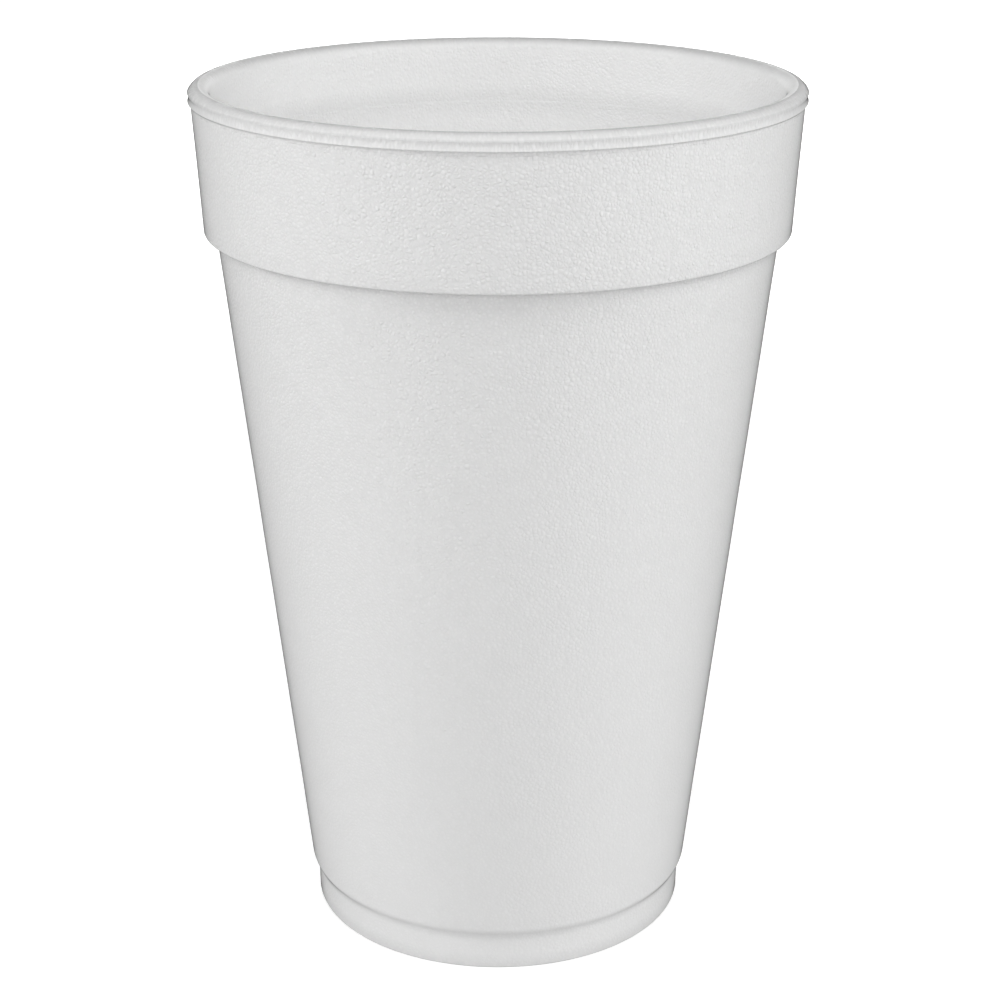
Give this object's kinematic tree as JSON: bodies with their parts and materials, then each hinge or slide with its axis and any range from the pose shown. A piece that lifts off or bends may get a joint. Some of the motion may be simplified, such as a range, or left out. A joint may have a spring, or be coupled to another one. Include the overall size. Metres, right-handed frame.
{
  "type": "foam cup",
  "caption": "Tapered white foam drink cup with a wide collar, a rim bead, a domed lip and a recessed foot; moulded whole, open at the top and empty.",
  "frame": {"origin": "centre of the foot ring, at the height of the table the cup stands on", "axes": "+Z along the cup's axis, from the foot to the lip"},
  "size_m": [0.103, 0.103, 0.1494],
  "materials": {
    "bead_foam": "moulded bead foam, matt white, with the faint outlines of the fused beads"
  },
  "bodies": {
    "root": {"cup": "bead_foam"}
  },
  "joints": []
}
